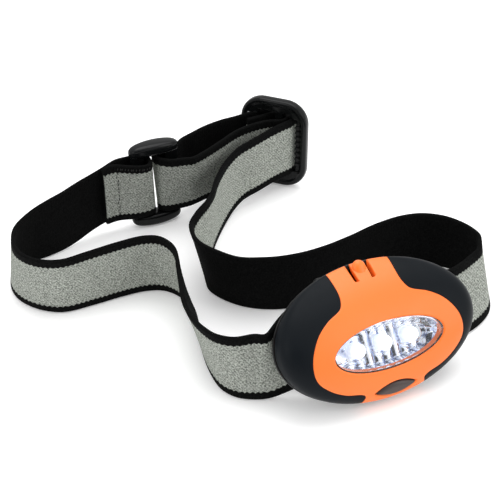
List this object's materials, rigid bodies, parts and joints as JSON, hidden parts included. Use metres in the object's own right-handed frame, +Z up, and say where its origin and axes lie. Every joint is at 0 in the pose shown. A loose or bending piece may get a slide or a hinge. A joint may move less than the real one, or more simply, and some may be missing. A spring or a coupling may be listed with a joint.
{
  "type": "headlamp",
  "caption": "Oval LED headlamp with a push button, a tilting lamp head and an elastic head strap run through a ring buckle and a toothed slider buckle.",
  "frame": {"origin": "centre of the bounding box at table level", "axes": "+Z up from the table; +X along the longest extent, towards the lamp's right end as it faces the viewer; the lamp faces -Y, turned 26.5 degrees and looking 36 degrees up"},
  "size_m": [0.1734, 0.1519, 0.04],
  "materials": {
    "orange_plastic": "satin",
    "grip_plastic": "matte",
    "lens": "clear",
    "reflector_chrome": "polished",
    "led": "clear",
    "board": "satin",
    "black_plastic": "satin",
    "button_plastic": "satin",
    "steel": "satin",
    "buckle_plastic": "gloss",
    "webbing": "matte"
  },
  "bodies": {
    "strap": {"strap_bracket": "black_plastic", "tilt_pin": "steel", "strap_left_run": "webbing", "strap_lamp_run": "webbing", "strap_right_run": "webbing", "strap_doubled_run": "webbing", "ring_buckle": "buckle_plastic", "slider_buckle": "buckle_plastic"},
    "lamp_back": {"back_shell": "black_plastic", "battery_holder": "black_plastic", "coin_cell_left": "steel", "coin_cell_right": "steel", "series_contact": "steel"},
    "lamp_front": {"front_shell": "orange_plastic", "left_grip": "grip_plastic", "right_grip": "grip_plastic", "lens": "lens", "reflector": "reflector_chrome", "led_left": "led", "led_centre": "led", "led_right": "led", "circuit_board": "board", "board_screw_left": "steel", "board_screw_right": "steel", "tact_switch": "black_plastic", "board_contact_left": "steel", "board_contact_right": "steel"},
    "button": {"push_button": "button_plastic", "switch_plunger": "black_plastic"},
    "latch": {"latch_tab": "orange_plastic"}
  },
  "joints": [
    {"name": "lamp_tilt", "type": "hinge", "parent": "strap", "child": "lamp_back", "pos_m": [0.03172, -0.0362, 0.0275], "axis": [-0.8949, -0.4462, 0], "range_deg": [0, 45]},
    {"name": "cover_open", "type": "hinge", "parent": "lamp_back", "child": "lamp_front", "pos_m": [0.04618, -0.06518, 0.00147], "axis": [0.8949, 0.4462, 0], "range_deg": [0, 60]},
    {"name": "button_press", "type": "slide", "parent": "lamp_front", "child": "button", "axis": [-0.4462, 0.8949, 0], "range_m": [0, 0.0006], "stiffness_N_per_m": 2500},
    {"name": "latch_lift", "type": "hinge", "parent": "lamp_front", "child": "latch", "pos_m": [0.03753, -0.04785, 0.03561], "axis": [0.8949, 0.4462, 0], "range_deg": [0, 8], "stiffness_Nm_per_rad": 0.05}
  ]
}
